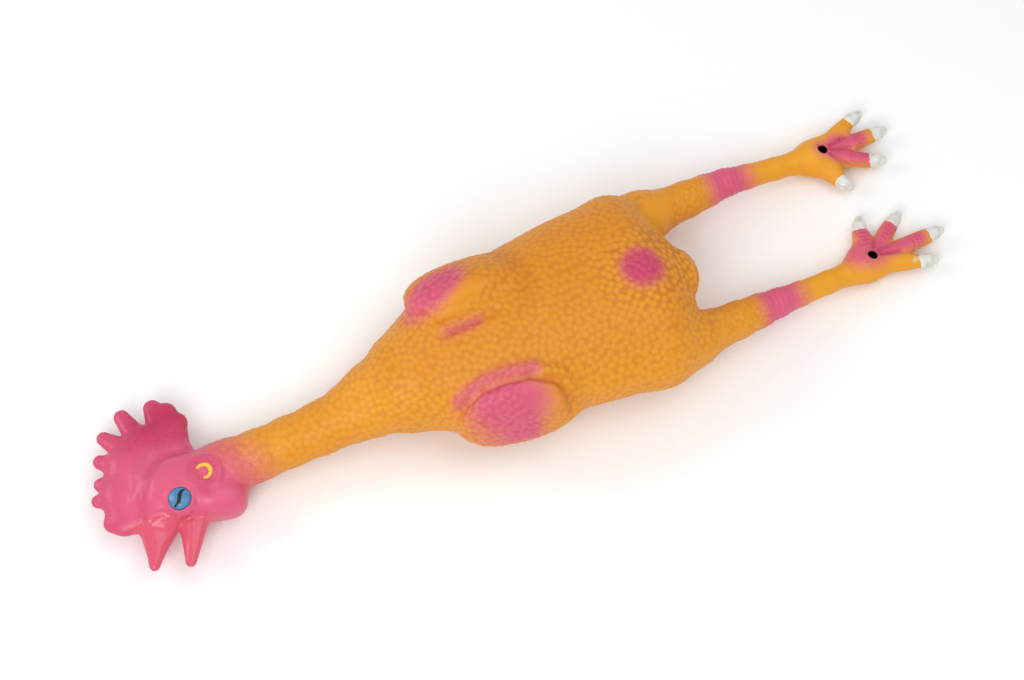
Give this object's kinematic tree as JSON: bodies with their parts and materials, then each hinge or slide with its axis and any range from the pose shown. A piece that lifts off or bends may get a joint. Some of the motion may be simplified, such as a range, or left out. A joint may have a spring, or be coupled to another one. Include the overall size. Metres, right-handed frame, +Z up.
{
  "type": "rubber chicken",
  "caption": "Hollow soft rubber chicken lying on its belly, with a bending neck, comb, open beak, folded wings and clawed feet; a squeezable novelty and stage prop.",
  "frame": {"origin": "middle of the flat patch of the belly that rests on the table", "axes": "+X from the neck to the feet along the body, +Z up from the table, the chicken's left side towards -Y"},
  "size_m": [0.5521, 0.1359, 0.0816],
  "materials": {
    "skin_orange": "satin pimpled soft vinyl",
    "head_pink": "glossy painted soft vinyl",
    "beak_crimson": "glossy painted soft vinyl",
    "toe_pink": "satin sprayed soft vinyl",
    "claw_white": "matte painted soft vinyl",
    "eye_blue": "painted"
  },
  "bodies": {
    "trunk": {"body_shell": "skin_orange", "wing_left": "skin_orange", "wing_right": "skin_orange", "rump": "skin_orange"},
    "lower_neck": {"neck_lower": "skin_orange"},
    "upper_neck": {"neck_upper": "skin_orange"},
    "head": {"head_shell": "head_pink", "nape": "head_pink", "comb": "head_pink", "upper_beak": "beak_crimson", "lower_beak": "beak_crimson", "cheek_lobe_left": "head_pink", "cheek_lobe_right": "head_pink", "eye_left": "eye_blue", "eye_right": "eye_blue"},
    "thigh_left": {"thigh_left": "skin_orange"},
    "shank_left": {"shank_left": "skin_orange"},
    "foot_left": {"foot_left": "skin_orange", "toe_left_hind": "toe_pink", "toe_left_inner": "toe_pink", "toe_left_middle": "toe_pink", "toe_left_outer": "toe_pink", "claw_left_hind": "claw_white", "claw_left_inner": "claw_white", "claw_left_middle": "claw_white", "claw_left_outer": "claw_white"},
    "thigh_right": {"thigh_right": "skin_orange"},
    "shank_right": {"shank_right": "skin_orange"},
    "foot_right": {"foot_right": "skin_orange", "toe_right_hind": "toe_pink", "toe_right_inner": "toe_pink", "toe_right_middle": "toe_pink", "toe_right_outer": "toe_pink", "claw_right_hind": "claw_white", "claw_right_inner": "claw_white", "claw_right_middle": "claw_white", "claw_right_outer": "claw_white"}
  },
  "joints": [
    {"name": "neck_base_turn", "type": "hinge", "parent": "trunk", "child": "lower_neck", "pos_m": [-0.143, -0.002, 0.03], "axis": [0, 0, 1], "range_deg": [-20, 20], "stiffness_Nm_per_rad": 0.5},
    {"name": "neck_lift", "type": "hinge", "parent": "lower_neck", "child": "upper_neck", "pos_m": [-0.186, -0.005, 0.024], "axis": [0, 1, 0], "range_deg": [0, 30], "stiffness_Nm_per_rad": 0.25},
    {"name": "head_turn", "type": "hinge", "parent": "upper_neck", "child": "head", "pos_m": [-0.226, -0.005, 0.02], "axis": [0, 0, 1], "range_deg": [-25, 25], "stiffness_Nm_per_rad": 0.2},
    {"name": "hip_left_spread", "type": "hinge", "parent": "trunk", "child": "thigh_left", "pos_m": [0.052, -0.041, 0.03], "axis": [0, 0, -1], "range_deg": [-4, 16], "stiffness_Nm_per_rad": 0.3},
    {"name": "hock_left_lift", "type": "hinge", "parent": "thigh_left", "child": "shank_left", "pos_m": [0.104, -0.036, 0.022], "axis": [0, -1, 0], "range_deg": [0, 35], "stiffness_Nm_per_rad": 0.12},
    {"name": "ankle_left_lift", "type": "hinge", "parent": "shank_left", "child": "foot_left", "pos_m": [0.156, -0.031, 0.012], "axis": [0, -1, 0], "range_deg": [0, 30], "stiffness_Nm_per_rad": 0.06},
    {"name": "hip_right_spread", "type": "hinge", "parent": "trunk", "child": "thigh_right", "pos_m": [0.058, 0.047, 0.03], "axis": [0, 0, 1], "range_deg": [-4, 16], "stiffness_Nm_per_rad": 0.3},
    {"name": "hock_right_lift", "type": "hinge", "parent": "thigh_right", "child": "shank_right", "pos_m": [0.109, 0.053, 0.022], "axis": [0, -1, 0], "range_deg": [0, 35], "stiffness_Nm_per_rad": 0.12},
    {"name": "ankle_right_lift", "type": "hinge", "parent": "shank_right", "child": "foot_right", "pos_m": [0.16, 0.053, 0.012], "axis": [0, -1, 0], "range_deg": [0, 30], "stiffness_Nm_per_rad": 0.06}
  ]
}
